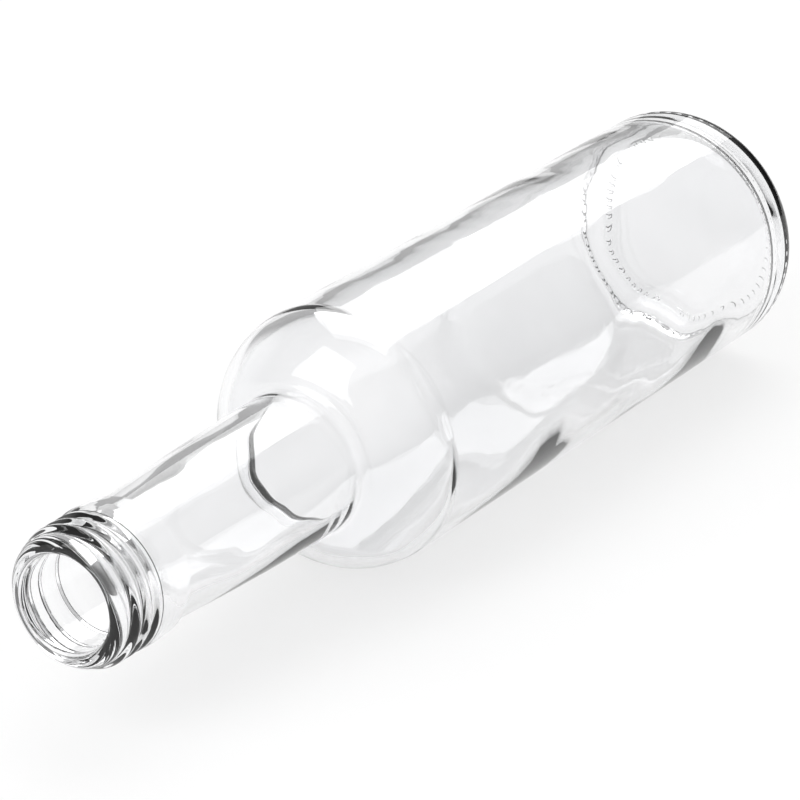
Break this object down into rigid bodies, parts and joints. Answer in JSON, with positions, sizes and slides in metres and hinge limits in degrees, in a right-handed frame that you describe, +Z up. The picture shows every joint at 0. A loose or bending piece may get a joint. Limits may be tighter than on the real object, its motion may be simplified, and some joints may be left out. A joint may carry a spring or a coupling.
{
  "type": "straight-neck glass bottle",
  "caption": "Empty clear glass bottle with a straight neck, round shoulder, screw finish with a bead, and a domed base, lying on its side.",
  "frame": {"origin": "on the surface the bottle lies on, under the middle of its length and width", "axes": "+Z up, the bottle's axis along X, mouth at -X and base at +X, as it lies"},
  "size_m": [0.245, 0.0595, 0.0594],
  "materials": {
    "clear_glass": "clear polished flint glass"
  },
  "bodies": {
    "root": {"bottle": "clear_glass"}
  },
  "joints": []
}
